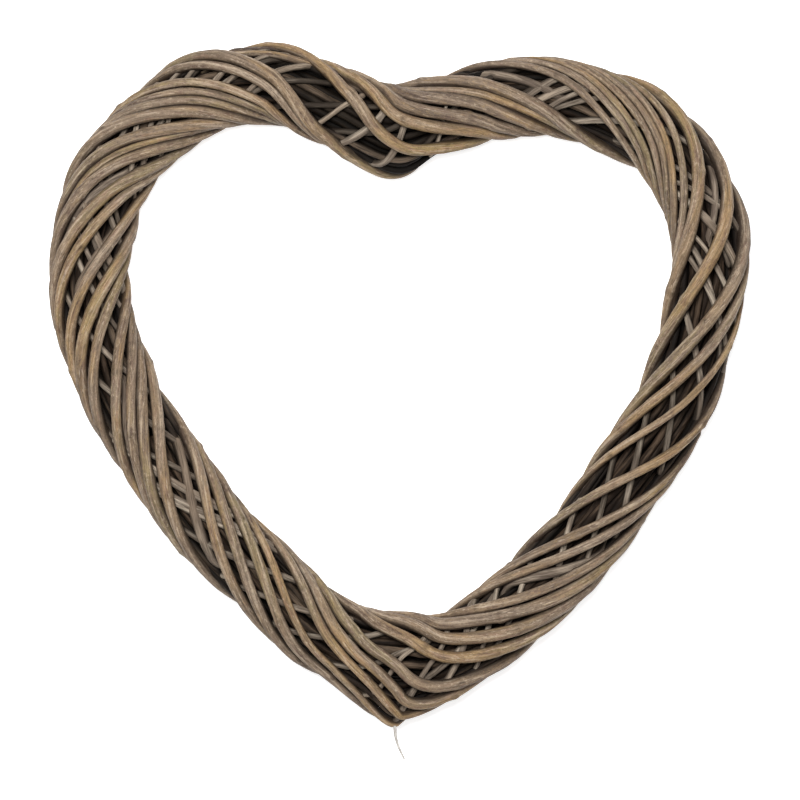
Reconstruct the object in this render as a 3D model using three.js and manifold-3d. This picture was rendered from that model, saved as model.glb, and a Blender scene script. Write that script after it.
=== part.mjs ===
// Heart-shaped willow wreath, lying on its back. Millimetres, +Z up, +Y to the top of the heart.
// The part stands on Z = 0, with X and Y measured from the middle of its outline.
// A bundle of core rods is bent into a heart. Thin rods are wound round it one way, and thicker
// rods over them the other way, so gaps between the outer rods show the layers underneath.
import * as THREE from 'three';
import { mergeVertices } from 'three/addons/utils/BufferGeometryUtils.js';
import Module from 'manifold-3d';

const wasm = await Module();
wasm.setup();

// Heart: width of the tube's middle line, and its shape as points, anticlockwise from the dip
const HEART_WIDTH = 350;
const HEART_POINTS = [
  [-1, 148], [-35, 159], [-77, 174], [-125, 161], [-168, 112], [-173, 33],
  [-127, -54], [-62, -124], [-29, -146], [0, -151], [31, -149], [75, -117],
  [122, -62], [162, 1], [177, 79], [152, 137], [101, 165], [51, 165],
];

// Rods
const CORE_COUNT = 5;
const CORE_DIAMETER = 5.8;
const CORE_TURNS = 1;
const BINDER_COUNT = 5;
const BINDER_DIAMETER = 4;
const BINDER_TURNS = 6;
const WRAP_BUTT_DIAMETER = 7;
const WRAP_TIP_DIAMETER = 3.4;
const WRAP_TAPER = 1.5;
const CORE_FIRST_END = 0.12;
const CORE_END_STEP = 0.4;
const BINDER_FIRST_END = 0.3;
const BINDER_END_STEP = 0.37;
const TWIG_DIAMETER = 1.3;
const TWIG_TIP_DIAMETER = 0.8;
const TWIG_LENGTH = 19;
const TWIG_TUCKED = 11.5;
const TWIG_CURL = 6.3;
const TWIG_HEIGHT = 6;

// Gaps
const ROD_CLEARANCE = 0.45;
const WRAP_CLEARANCE = 1.95;
const END_GAP = 9;

// The tube's section reaches further out at the bottom point and in the notch above the dip, and
// further in under the dip
const POINT_REACH = 28;
const POINT_SPREAD = 19;
const NOTCH_REACH = 3.4;
const NOTCH_SPREAD = 14;
const DIP_REACH = 9.3;
const DIP_SPREAD = 10;

// Flat spots under the lowest rods, which the wreath rests on
const REST_TRIM = 1.6;

// Facets: a straight stretch between two rings falls this far inside the rod's true curve
const WRAP_SIDES = 6;
const CORE_SIDES = 5;
const BINDER_SIDES = 4;
const WRAP_DROP = 1.4;
const CORE_DROP = 1.1;
const BINDER_DROP = 1.2;
const TWIG_SIDES = 6;
const TWIG_DROP = 0.02;

// Where the outer rods cross the front, in hundredths of the way round the heart from the dip.
// A rod makes one turn round the tube between two of its crossings. In a run, each rod takes over
// at the back where the one before it ends, and from and to are where the run would cross once
// more at each end. A rod's thick end comes first, or its thin end where thinFirst is true.
const WRAP_RUNS = [
  {
    from: -35.8,
    to: 338.6,
    rods: [
      { thinFirst: true, front: [-13.4, 7.8, 26.4, 48.95, 74.85] },
      { thinFirst: false, front: [96, 116.8, 139.9, 162.65, 185.75] },
      { thinFirst: false, front: [206.7, 224.85, 247.4, 272.7, 295.05, 315.75] },
    ],
  },
  {
    from: -34.6,
    to: 280.3,
    rods: [
      { thinFirst: true, front: [-12.3, 9.85, 28.85, 52.2, 78.5] },
      { thinFirst: false, front: [97.7, 118.95, 141.85, 166.1, 188.4] },
      { thinFirst: true, front: [211, 230.6, 254.5] },
    ],
  },
  {
    from: -32,
    to: 304,
    rods: [
      { thinFirst: true, front: [-10.3, 11.85, 31.8, 56.5] },
      { thinFirst: false, front: [82, 101.5, 123, 146.1, 170.1] },
      { thinFirst: false, front: [193.85, 214.85, 238.05, 261, 284.9] },
    ],
  },
  { from: -8.2, to: 102.8, rods: [{ thinFirst: false, front: [12.9, 33.6, 58.1, 83.65] }] },
  { from: -19.7, to: 68.3, rods: [{ thinFirst: false, front: [-0.9, 20.4, 43.6] }] },
];

// Colours
const BARK_TAN = { color: 0x9a8064, roughness: 0.78, metalness: 0 };
const BARK_GREY = { color: 0x8f8779, roughness: 0.85, metalness: 0 };
const BARK_DARK = { color: 0x6a5a4b, roughness: 0.88, metalness: 0 };
const TWIG_PALE = { color: 0xcbb693, roughness: 0.7, metalness: 0 };

// Layers, from the inside out: each radius is that of the rods' middle lines
const CORE_SPACING = CORE_DIAMETER + ROD_CLEARANCE + CORE_DROP / 2;
const CORE_RADIUS = CORE_SPACING / 2 / Math.sin(Math.PI / CORE_COUNT);
const BINDER_RADIUS = CORE_RADIUS + CORE_DIAMETER / 2 + CORE_DROP + ROD_CLEARANCE + BINDER_DROP
  + BINDER_DIAMETER / 2;
const WRAP_RADIUS = BINDER_RADIUS + BINDER_DIAMETER / 2 + ROD_CLEARANCE + WRAP_DROP
  + WRAP_BUTT_DIAMETER / 2;
const TUBE_RADIUS = WRAP_RADIUS + WRAP_BUTT_DIAMETER / 2;

const drawnX = HEART_POINTS.map(([x]) => x);
const heartScale = HEART_WIDTH / (Math.max(...drawnX) - Math.min(...drawnX));
const heart = new THREE.CatmullRomCurve3(
  HEART_POINTS.map(([x, y]) => new THREE.Vector3(x * heartScale, y * heartScale, 0)),
  true, 'catmullrom', 0.5,
);
heart.arcLengthDivisions = 1800;
const HEART_LENGTH = heart.getLength();
const POINT_SHARE = 0.5;
const BEND_STEP = 0.002;
const TURN = 2 * Math.PI;

const wrapShare = (share) => share - Math.floor(share);

// Middle line, direction, outward side and bend at a share of the way round
function heartFrame(share) {
  const at = wrapShare(share);
  const middle = heart.getPointAt(at);
  const ahead = heart.getTangentAt(wrapShare(at + BEND_STEP));
  const behind = heart.getTangentAt(wrapShare(at - BEND_STEP));
  const along = heart.getTangentAt(at);
  const bend = behind.clone().cross(ahead).z / (2 * BEND_STEP * HEART_LENGTH);
  return { middle, along, outward: new THREE.Vector3(along.y, -along.x, 0), bend };
}

// How far the section reaches sideways at a radius: angle 0 is the front, a quarter turn is outward
function sideReach(share, radius, angle) {
  const at = wrapShare(share);
  const side = Math.sin(angle);
  const fromPoint = (at - POINT_SHARE) * HEART_LENGTH;
  const fromDip = Math.min(at, 1 - at) * HEART_LENGTH;
  const bulge = (reach, distance, spread) => reach * Math.exp(-((distance / spread) ** 2));
  const outwards = bulge(POINT_REACH, fromPoint, POINT_SPREAD)
    + bulge(NOTCH_REACH, fromDip, NOTCH_SPREAD);
  const inwards = bulge(DIP_REACH, fromDip, DIP_SPREAD);
  const extra = (side > 0 ? outwards : -inwards) * side * side;
  return radius * side + extra * radius / TUBE_RADIUS;
}

// A point of a layer
function layerPoint(share, radius, angle) {
  const { middle, outward } = heartFrame(share);
  const point = middle.clone().addScaledVector(outward, sideReach(share, radius, angle));
  point.z = radius * Math.cos(angle);
  return point;
}

// Smooth value between listed ones, with the ends carried on in a straight line
function smoothBetween(values, at) {
  const last = values.length - 1;
  const index = Math.min(Math.max(Math.floor(at), 0), last - 1);
  const t = at - index;
  const pick = (i) => {
    if (i < 0) return 2 * values[0] - values[1];
    if (i > last) return 2 * values[last] - values[last - 1];
    return values[i];
  };
  if (t < 0 || t > 1) return pick(index) + t * (pick(index + 1) - pick(index));
  const [a, b, c, d] = [-1, 0, 1, 2].map((i) => pick(index + i));
  return b + 0.5 * t * (c - a + t * (2 * a - 5 * b + 4 * c - d + t * (3 * (b - c) + d - a)));
}

// How finely the rods are drawn before they are thinned out to rings
const DRAFT_STEPS = 12;
const SAMPLES_A_TURN = 120;
const EVEN_ROD_SAMPLES = 600;
const TWIG_SAMPLES = 60;

// How rods that lie too close are moved apart
const SETTLE_ROUNDS = 400;
const LEAST_STRETCH = 0.25;

// The rods of each run at every twelfth of a turn, with their diameter there
function draftRuns() {
  return WRAP_RUNS.map(({ from, to, rods }) => {
    const front = rods.flatMap((rod) => rod.front);
    const crossing = (turn) => smoothBetween([from, ...front, to], turn + 1) / 100;
    const owners = rods.flatMap((rod) => rod.front.map(() => rod));
    const firsts = new Map(rods.map((rod) => [rod, owners.indexOf(rod)]));
    const passes = [];
    const half = DRAFT_STEPS / 2;
    for (let step = -half; step <= (front.length - 1) * DRAFT_STEPS + half; step += 1) {
      const turn = step / DRAFT_STEPS;
      const rod = owners[Math.min(Math.round(turn), owners.length - 1)];
      const done = (turn - firsts.get(rod) + 0.5) / rod.front.length;
      passes.push({
        turn,
        share: crossing(turn),
        lead: (crossing(turn + 0.5) - crossing(turn - 0.5)) * HEART_LENGTH,
        diameter: wrapDiameter(rod, done),
      });
    }
    return passes;
  });
}

// An outer rod keeps most of its thickness for half its length and then tapers faster
function wrapDiameter({ thinFirst }, done) {
  const fromButt = Math.max(thinFirst ? 1 - done : done, 0);
  return THREE.MathUtils.lerp(WRAP_BUTT_DIAMETER, WRAP_TIP_DIAMETER, fromButt ** WRAP_TAPER);
}

// Length of tube that one rod takes up where it lies slantwise at an angle round the tube
function shareTaken(pass, angle) {
  const { bend } = heartFrame(pass.share);
  const reach = sideReach(pass.share, WRAP_RADIUS, angle);
  const stretch = Math.max(LEAST_STRETCH, 1 + bend * reach);
  const across = TURN * WRAP_RADIUS;
  const slant = across / Math.hypot(across, stretch * pass.lead);
  return (pass.diameter + WRAP_CLEARANCE) / (stretch * slant) / HEART_LENGTH;
}

// At one angle round the tube, rods that lie too close push each other apart
function settle(passes, angle) {
  const line = passes.map((pass) => {
    const start = wrapShare(pass.share);
    return { pass, start, at: start, taken: shareTaken(pass, angle) };
  });
  line.sort((a, b) => a.at - b.at);
  for (let round = 0; round < SETTLE_ROUNDS; round += 1) {
    line.forEach((here, index) => {
      const next = line[(index + 1) % line.length];
      const lap = index + 1 === line.length ? 1 : 0;
      const short = (here.taken + next.taken) / 2 - (next.at + lap - here.at);
      if (short > 0) {
        here.at -= short / 2;
        next.at += short / 2;
      }
    });
  }
  line.forEach(({ pass, start, at }) => {
    pass.share += at - start;
  });
}

function settledRuns() {
  const runs = draftRuns();
  for (let step = 0; step < DRAFT_STEPS; step += 1) {
    const level = runs.flat().filter(({ turn }) => (
      Math.round(wrapShare(turn) * DRAFT_STEPS) % DRAFT_STEPS === step
    ));
    settle(level, step / DRAFT_STEPS * TURN);
  }
  return runs;
}

// Finely spaced points thinned out to rings, closer together where the rod bends more, so that
// each straight stretch falls equally far inside the curve
function ringsAlong(points, diameters, drop) {
  const amount = [0, 0];
  for (let i = 2; i < points.length; i += 1) {
    const incoming = points[i - 1].clone().sub(points[i - 2]);
    const outgoing = points[i].clone().sub(points[i - 1]);
    amount.push(amount[i - 1] + Math.sqrt(incoming.angleTo(outgoing) * outgoing.length()));
  }
  amount[1] = amount[2] / 2;
  const total = amount.at(-1);
  const count = Math.max(2, Math.round(total / Math.sqrt(8 * drop)));
  const rings = [];
  let index = 0;
  for (let ring = 0; ring <= count; ring += 1) {
    const wanted = total * ring / count;
    while (index < amount.length - 2 && amount[index + 1] < wanted) index += 1;
    const t = (wanted - amount[index]) / (amount[index + 1] - amount[index]);
    rings.push({
      centre: points[index].clone().lerp(points[index + 1], t),
      diameter: THREE.MathUtils.lerp(diameters[index], diameters[index + 1], t),
    });
  }
  return rings;
}

// A closed rod through rings, each square to the rod's direction there
function rodGeometry(rings, sides) {
  const vertices = [];
  const triangles = [];
  const last = rings.length - 1;
  let across = null;
  rings.forEach(({ centre, diameter }, ring) => {
    const before = rings[Math.max(ring - 1, 0)].centre;
    const after = rings[Math.min(ring + 1, last)].centre;
    const along = after.clone().sub(before).normalize();
    if (!across) across = new THREE.Vector3(0, 0, 1);
    across.addScaledVector(along, -across.dot(along)).normalize();
    const third = along.clone().cross(across);
    for (let side = 0; side < sides; side += 1) {
      const angle = side / sides * TURN;
      const corner = centre.clone()
        .addScaledVector(across, diameter / 2 * Math.cos(angle))
        .addScaledVector(third, diameter / 2 * Math.sin(angle));
      vertices.push(corner.x, corner.y, corner.z);
    }
  });
  for (let ring = 0; ring < last; ring += 1) {
    for (let side = 0; side < sides; side += 1) {
      const a = ring * sides + side;
      const b = ring * sides + (side + 1) % sides;
      triangles.push(a, b, b + sides, a, b + sides, a + sides);
    }
  }
  for (let side = 1; side < sides - 1; side += 1) {
    triangles.push(0, side + 1, side);
    triangles.push(last * sides, last * sides + side, last * sides + side + 1);
  }
  const geometry = new THREE.BufferGeometry();
  geometry.setAttribute('position', new THREE.Float32BufferAttribute(vertices, 3));
  geometry.setIndex(triangles);
  return geometry;
}

function toManifold(geometry) {
  return new wasm.Manifold(new wasm.Mesh({
    numProp: 3,
    vertProperties: new Float32Array(geometry.getAttribute('position').array),
    triVerts: new Uint32Array(geometry.getIndex().array),
  }));
}

function fromManifold(solid) {
  const { vertProperties, triVerts } = solid.getMesh();
  const geometry = new THREE.BufferGeometry();
  geometry.setAttribute('position', new THREE.BufferAttribute(new Float32Array(vertProperties), 3));
  geometry.setIndex(new THREE.BufferAttribute(new Uint32Array(triVerts), 1));
  return geometry;
}

// Cuts off what lies lower than the rest level
function trimBelow(geometry, level) {
  geometry.computeBoundingBox();
  const { min, max } = geometry.boundingBox;
  if (min.z >= level) return geometry;
  const margin = 10;
  const slab = new THREE.BoxGeometry(
    max.x - min.x + 2 * margin, max.y - min.y + 2 * margin, level - min.z + margin,
  );
  slab.translate((min.x + max.x) / 2, (min.y + max.y) / 2, (level + min.z - margin) / 2);
  slab.deleteAttribute('normal');
  slab.deleteAttribute('uv');
  return fromManifold(toManifold(geometry).subtract(toManifold(mergeVertices(slab))));
}

const wreath = new THREE.Group();

function addPiece(name, geometry, look) {
  const mesh = new THREE.Mesh(geometry, new THREE.MeshStandardMaterial(look));
  mesh.name = name;
  wreath.add(mesh);
}

// A rod that winds evenly round the tube, once round the heart less a gap between its ends
function evenRod({ radius, diameter, turns, startShare, startAngle, sides, drop }) {
  const points = [];
  const diameters = [];
  const span = 1 - END_GAP / HEART_LENGTH;
  for (let i = 0; i <= EVEN_ROD_SAMPLES; i += 1) {
    const share = startShare + span * i / EVEN_ROD_SAMPLES;
    points.push(layerPoint(share, radius, startAngle + turns * TURN * share));
    diameters.push(diameter);
  }
  return rodGeometry(ringsAlong(points, diameters, drop), sides);
}

function addCoreRods() {
  for (let rod = 0; rod < CORE_COUNT; rod += 1) {
    addPiece(`core_rod_${rod + 1}`, evenRod({
      radius: CORE_RADIUS,
      diameter: CORE_DIAMETER,
      turns: CORE_TURNS,
      startShare: CORE_FIRST_END + rod * CORE_END_STEP,
      startAngle: rod / CORE_COUNT * TURN,
      sides: CORE_SIDES,
      drop: CORE_DROP,
    }), BARK_DARK);
  }
}

function addBinderRods() {
  for (let rod = 0; rod < BINDER_COUNT; rod += 1) {
    addPiece(`binder_rod_${rod + 1}`, evenRod({
      radius: BINDER_RADIUS,
      diameter: BINDER_DIAMETER,
      turns: -BINDER_TURNS,
      startShare: BINDER_FIRST_END + rod * BINDER_END_STEP,
      startAngle: rod / BINDER_COUNT * TURN,
      sides: BINDER_SIDES,
      drop: BINDER_DROP,
    }), BARK_GREY);
  }
}

// One outer rod: the stretch of its run from the back before its first crossing to the back after
// its last, less half of the gap that it keeps to the next rod's end
function wrapGeometry(passes, rod, firstTurn) {
  const shares = passes.map(({ share }) => share);
  const points = [];
  const diameters = [];
  const samples = rod.front.length * SAMPLES_A_TURN;
  for (let i = 0; i <= samples; i += 1) {
    const done = i / samples;
    const turn = firstTurn - 0.5 + done * rod.front.length;
    const share = smoothBetween(shares, (turn - passes[0].turn) * DRAFT_STEPS);
    points.push(layerPoint(share, WRAP_RADIUS, turn * TURN));
    diameters.push(wrapDiameter(rod, done));
  }
  const spare = Math.round(END_GAP / 2 / points[1].distanceTo(points[0]));
  const kept = (list) => list.slice(spare, list.length - spare);
  return rodGeometry(ringsAlong(kept(points), kept(diameters), WRAP_DROP), WRAP_SIDES);
}

function addWrapRods() {
  const restLevel = -TUBE_RADIUS + REST_TRIM;
  let number = 0;
  settledRuns().forEach((passes, run) => {
    let firstTurn = 0;
    WRAP_RUNS[run].rods.forEach((rod) => {
      number += 1;
      const geometry = wrapGeometry(passes, rod, firstTurn);
      addPiece(`wrap_rod_${number}`, trimBelow(geometry, restLevel), BARK_TAN);
      firstTurn += rod.front.length;
    });
  });
}

// A twig's thin end that slips out between the outer rods at the bottom point. It starts inside
// the tube's edge and bends sideways with the square of the way down.
function addLooseTwig() {
  const edge = layerPoint(POINT_SHARE, TUBE_RADIUS, TURN / 4);
  const route = new THREE.CatmullRomCurve3([0, 1 / 3, 2 / 3, 1].map((down) => new THREE.Vector3(
    edge.x + TWIG_CURL * down * down,
    edge.y + TWIG_TUCKED - TWIG_LENGTH * down,
    TWIG_HEIGHT,
  )));
  const points = route.getSpacedPoints(TWIG_SAMPLES);
  const diameters = points.map((point, index) => THREE.MathUtils.lerp(
    TWIG_DIAMETER, TWIG_TIP_DIAMETER, index / TWIG_SAMPLES,
  ));
  const rings = ringsAlong(points, diameters, TWIG_DROP);
  addPiece('loose_twig_end', rodGeometry(rings, TWIG_SIDES), TWIG_PALE);
}

addCoreRods();
addBinderRods();
addWrapRods();
addLooseTwig();

wreath.updateMatrixWorld(true);
const box = new THREE.Box3().setFromObject(wreath);
const middle = box.getCenter(new THREE.Vector3());
wreath.position.set(-middle.x, -middle.y, -box.min.z);

export default wreath;
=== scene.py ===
# %% [markdown]
# # A heart-shaped willow wreath
# The real wreath is a bundle of dark willow rods bent into a heart. Thin grey rods are wound round
# it one way, and thick tan rods over them the other way, so that the windows between the outer
# rods show the layers underneath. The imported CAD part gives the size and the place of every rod.
# Here each rod gets its round, knotty, wrinkled surface and its bark. Nothing of the frame moves:
# the new rods follow the same lines as the solids that they stand for.

import bpy
import numpy as np
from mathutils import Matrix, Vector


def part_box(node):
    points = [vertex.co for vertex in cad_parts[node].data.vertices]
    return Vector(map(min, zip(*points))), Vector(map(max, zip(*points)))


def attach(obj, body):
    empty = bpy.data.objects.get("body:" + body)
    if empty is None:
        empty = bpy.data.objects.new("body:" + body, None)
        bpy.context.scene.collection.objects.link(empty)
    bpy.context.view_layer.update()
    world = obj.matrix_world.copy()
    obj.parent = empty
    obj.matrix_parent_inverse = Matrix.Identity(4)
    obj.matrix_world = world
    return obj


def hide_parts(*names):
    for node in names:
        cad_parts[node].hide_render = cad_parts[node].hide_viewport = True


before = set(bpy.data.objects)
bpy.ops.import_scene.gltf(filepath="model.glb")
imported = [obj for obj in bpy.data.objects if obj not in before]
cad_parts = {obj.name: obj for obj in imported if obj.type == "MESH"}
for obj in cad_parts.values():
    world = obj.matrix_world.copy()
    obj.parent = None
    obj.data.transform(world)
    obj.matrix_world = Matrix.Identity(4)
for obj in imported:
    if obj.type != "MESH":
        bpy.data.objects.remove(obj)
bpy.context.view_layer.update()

# %% [markdown]
# ## The heart's middle line
# A maker bends the bundle over a former. Its middle line could be drawn by hand as a Bezier curve,
# but a formula lets every rod measure its way along it. The line is a closed Catmull-Rom curve
# through a few points, and a share from 0 to 1 says how far round the heart a place is, from the
# dip at the top, anticlockwise. All shapes are worked out in millimetres.

# %% Middle line
MM = 0.001
TURN = 2 * np.pi
HEART_WIDTH = 350
HEART_POINTS = np.array([
    [-1, 148], [-35, 159], [-77, 174], [-125, 161], [-168, 112], [-173, 33],
    [-127, -54], [-62, -124], [-29, -146], [0, -151], [31, -149], [75, -117],
    [122, -62], [162, 1], [177, 79], [152, 137], [101, 165], [51, 165],
], float)
HEART_POINTS *= HEART_WIDTH / np.ptp(HEART_POINTS[:, 0])
POINT_SHARE = 0.5
BEND_STEP = 0.002
SLOPE_STEP = 0.0001
LENGTH_STEPS = 1800


def closed_curve(t):
    """Point of the closed curve at t from 0 to 1. Each stretch between two listed points is the
    cubic whose slope at a point is half the way from the point before to the point after."""
    count = len(HEART_POINTS)
    place = np.mod(t, 1) * count
    first = np.floor(place).astype(int)
    w = (place - first)[..., None]
    p0, p1, p2, p3 = (HEART_POINTS[(first + k) % count] for k in (-1, 0, 1, 2))
    a, b = (p2 - p0) / 2, (p3 - p1) / 2
    return p1 + w * (a + w * (3 * (p2 - p1) - 2 * a - b + w * (2 * (p1 - p2) + a + b)))


steps = np.linspace(0, 1, LENGTH_STEPS + 1)
chords = np.linalg.norm(np.diff(closed_curve(steps), axis=0), axis=1)
lengths = np.concatenate([[0], np.cumsum(chords)])
HEART_LENGTH = lengths[-1]


def heart_frame(share):
    """Middle, outward side and bend at a share: the outward side is the direction of travel
    turned a quarter turn clockwise, and the bend is the turn per millimetre."""
    def direction(at):
        t = np.interp(np.mod(at, 1) * HEART_LENGTH, lengths, steps)
        way = closed_curve(t + SLOPE_STEP) - closed_curve(t - SLOPE_STEP)
        return t, way / np.linalg.norm(way, axis=-1, keepdims=True)

    t, along = direction(share)
    ahead, behind = direction(share + BEND_STEP)[1], direction(share - BEND_STEP)[1]
    turned = behind[..., 0] * ahead[..., 1] - behind[..., 1] * ahead[..., 0]
    outward = np.stack([along[..., 1], -along[..., 0]], axis=-1)
    return closed_curve(t), outward, turned / (2 * BEND_STEP * HEART_LENGTH)


print("length of the middle line, mm:", round(HEART_LENGTH, 1))

# %% [markdown]
# ## The layers of the tube
# On the real wreath each layer lies on the one below. Here a layer is a radius round the middle
# line, worked out from the rods' thicknesses and the gaps between them, as in the CAD part. At the
# bottom point the section reaches further out, and under the dip it reaches further in. This makes
# the sharp corners of the heart, though the middle line has none.

# %% Layers
CORE_COUNT, CORE_DIAMETER, CORE_TURNS = 5, 5.8, 1
BINDER_COUNT, BINDER_DIAMETER, BINDER_TURNS = 5, 4, 6
WRAP_BUTT_DIAMETER, WRAP_TIP_DIAMETER, WRAP_TAPER = 7, 3.4, 1.5
ROD_CLEARANCE, WRAP_CLEARANCE, END_GAP = 0.45, 0.1, 9
WRAP_DROP, CORE_DROP, BINDER_DROP = 1.4, 1.1, 1.2
POINT_REACH, POINT_SPREAD = 28, 19
NOTCH_REACH, NOTCH_SPREAD = 3.4, 14
DIP_REACH, DIP_SPREAD = 9.3, 10
REST_TRIM = 1.6

CORE_RADIUS = (CORE_DIAMETER + ROD_CLEARANCE + CORE_DROP / 2) / 2 / np.sin(np.pi / CORE_COUNT)
BINDER_RADIUS = (CORE_RADIUS + CORE_DIAMETER / 2 + CORE_DROP + ROD_CLEARANCE + BINDER_DROP
                 + BINDER_DIAMETER / 2)
WRAP_RADIUS = (BINDER_RADIUS + BINDER_DIAMETER / 2 + ROD_CLEARANCE + WRAP_DROP
               + WRAP_BUTT_DIAMETER / 2)
TUBE_RADIUS = WRAP_RADIUS + WRAP_BUTT_DIAMETER / 2


def side_reach(share, radius, angle):
    """How far a layer reaches sideways: radius times the sine of the angle, plus bell-shaped
    bulges, outwards at the bottom point and in the notch above the dip and inwards under the
    dip, times the sine squared."""
    at, side = np.mod(share, 1), np.sin(angle)
    from_point = (at - POINT_SHARE) * HEART_LENGTH
    from_dip = np.minimum(at, 1 - at) * HEART_LENGTH
    outwards = (POINT_REACH * np.exp(-(from_point / POINT_SPREAD) ** 2)
                + NOTCH_REACH * np.exp(-(from_dip / NOTCH_SPREAD) ** 2))
    inwards = DIP_REACH * np.exp(-(from_dip / DIP_SPREAD) ** 2)
    extra = np.where(side > 0, outwards, -inwards) * side ** 2
    return radius * side + extra * radius / TUBE_RADIUS


def layer_point(share, radius, angle):
    """Point of a layer: the middle, plus the outward side times the sideways reach, at a height
    of the radius times the cosine of the angle. Angle 0 is the front, a quarter turn outward."""
    middle, outward, _ = heart_frame(share)
    flat = middle + outward * side_reach(share, radius, angle)[..., None]
    return np.concatenate([flat, (radius * np.cos(angle))[..., None]], axis=-1)


print("layer radii, mm:", [round(r, 2) for r in (CORE_RADIUS, BINDER_RADIUS, WRAP_RADIUS)])

# %% [markdown]
# ## Where the outer rods run
# Each outer rod winds round the tube a few times, and the next one takes over at the back. The
# chart lists where each rod crosses the front, in hundredths of the way round, as counted on the
# real wreath, with each rod's thick or thin end first. Between two crossings the rod makes one
# turn. Rods that would lie in each other push each other apart, as real ones do. The gaps that
# each rod then has to its neighbours are kept, as they set where painted shade darkens the bark.

# %% Chart of the outer rods
THICK, THIN = False, True
WRAP_RUNS = [
    (-35.8, 338.6, [
        (THIN, [-13.4, 7.8, 26.4, 48.95, 74.85]),
        (THICK, [96, 116.8, 139.9, 162.65, 185.75]),
        (THICK, [206.7, 224.85, 247.4, 272.7, 295.05, 315.75]),
    ]),
    (-34.6, 280.3, [
        (THIN, [-12.3, 9.85, 28.85, 52.2, 78.5]),
        (THICK, [97.7, 118.95, 141.85, 166.1, 188.4]),
        (THIN, [211, 230.6, 254.5]),
    ]),
    (-32, 304, [
        (THIN, [-10.3, 11.85, 31.8, 56.5]),
        (THICK, [82, 101.5, 123, 146.1, 170.1]),
        (THICK, [193.85, 214.85, 238.05, 261, 284.9]),
    ]),
    (-8.2, 102.8, [(THICK, [12.9, 33.6, 58.1, 83.65])]),
    (-19.7, 68.3, [(THICK, [-0.9, 20.4, 43.6])]),
]
DRAFT_STEPS = 12
SETTLE_ROUNDS = 400
LEAST_STRETCH = 0.25


def smooth_between(values, at):
    """Smooth value between listed ones: the Catmull-Rom cubic inside, and a straight line that
    carries on past each end."""
    last = len(values) - 1
    ends = [2 * values[0] - values[1]], [2 * values[last] - values[last - 1]]
    padded = np.concatenate([ends[0], values, ends[1]])
    first = np.clip(np.floor(at).astype(int), 0, last - 1)
    t = at - first
    a, b, c, d = (padded[first + k] for k in (0, 1, 2, 3))
    inside = b + 0.5 * t * (c - a + t * (2 * a - 5 * b + 4 * c - d + t * (3 * (b - c) + d - a)))
    return np.where((t < 0) | (t > 1), b + t * (c - b), inside)


def rod_diameter(thin_first, done):
    """Diameter along an outer rod: it keeps most of its thickness for half its length, and then
    tapers faster to its thin end."""
    from_butt = np.maximum(1 - done if thin_first else done, 0)
    return WRAP_BUTT_DIAMETER + (WRAP_TIP_DIAMETER - WRAP_BUTT_DIAMETER) * from_butt ** WRAP_TAPER


def settle(at, taken):
    """Places round the loop, sorted, after too close neighbours have pushed each other apart by
    half of what they lack, again and again."""
    order = np.argsort(at)
    line, room = list(at[order]), list(taken[order])
    count = len(line)
    for _ in range(SETTLE_ROUNDS):
        for i in range(count):
            j = (i + 1) % count
            short = (room[i] + room[j]) / 2 - (line[j] + (j == 0) - line[i])
            if short > 0:
                line[i] -= short / 2
                line[j] += short / 2
    settled = np.empty(count)
    settled[order] = line
    return settled


# %% [markdown]
# ### Drafts
# Every outer rod is drafted at twelve places a turn. At each of these places the rods that lie at
# the same angle of the tube are sorted round the heart and settled together.

# %% Draft and settle the outer rods
half = DRAFT_STEPS // 2
drafts = []
for start, end, rods in WRAP_RUNS:
    front = np.concatenate([crossings for _, crossings in rods])
    crossings = np.concatenate([[start], front, [end]]) / 100
    step = np.arange(-half, (len(front) - 1) * DRAFT_STEPS + half + 1)
    turn = step / DRAFT_STEPS
    owner = np.repeat(np.arange(len(rods)), [len(c) for _, c in rods])
    firsts = np.array([np.flatnonzero(owner == r)[0] for r in range(len(rods))])
    rod = owner[np.clip(np.floor(turn + 0.5).astype(int), 0, len(front) - 1)]
    done = (turn - firsts[rod] + 0.5) / np.array([len(c) for _, c in rods])[rod]
    thin = np.array([t for t, _ in rods])[rod]
    lead = smooth_between(crossings, turn + 1.5) - smooth_between(crossings, turn + 0.5)
    drafts.append({
        "turn": turn, "share": smooth_between(crossings, turn + 1), "lead": lead * HEART_LENGTH,
        "diameter": np.where(thin, rod_diameter(True, done), rod_diameter(False, done)),
        "level": np.mod(step, DRAFT_STEPS), "ahead": 0.0 * step, "behind": 0.0 * step,
    })

for level in range(DRAFT_STEPS):
    picks = [(draft, np.flatnonzero(draft["level"] == level)) for draft in drafts]
    share, lead, diameter = (
        np.concatenate([draft[key][pick] for draft, pick in picks])
        for key in ("share", "lead", "diameter")
    )
    angle = np.full(len(share), level / DRAFT_STEPS * TURN)
    bend = heart_frame(share)[2]
    stretch = np.maximum(LEAST_STRETCH, 1 + bend * side_reach(share, WRAP_RADIUS, angle))
    round_tube = TURN * WRAP_RADIUS
    slant = round_tube / np.hypot(round_tube, stretch * lead)
    taken = (diameter + WRAP_CLEARANCE) / (stretch * slant) / HEART_LENGTH
    settled = settle(np.mod(share, 1), taken)
    moved = settled - np.mod(share, 1)
    order = np.argsort(np.mod(settled, 1))
    apart = np.mod(np.roll(settled[order], -1) - settled[order], 1) * HEART_LENGTH
    touching = (diameter[order] + np.roll(diameter[order], -1)) / 2
    ahead, behind = np.empty(len(share)), np.empty(len(share))
    ahead[order] = apart * (stretch * slant)[order] - touching
    behind[order] = np.roll(ahead[order], 1)
    for draft, pick in picks:
        count = len(pick)
        draft["share"][pick] += moved[:count]
        draft["ahead"][pick], draft["behind"][pick] = ahead[:count], behind[:count]
        moved, ahead, behind = moved[count:], ahead[count:], behind[count:]

print("outer rods:", sum(len(rods) for _, _, rods in WRAP_RUNS),
      "crossings of the front:", sum(len(c) for _, _, rods in WRAP_RUNS for _, c in rods))

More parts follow.
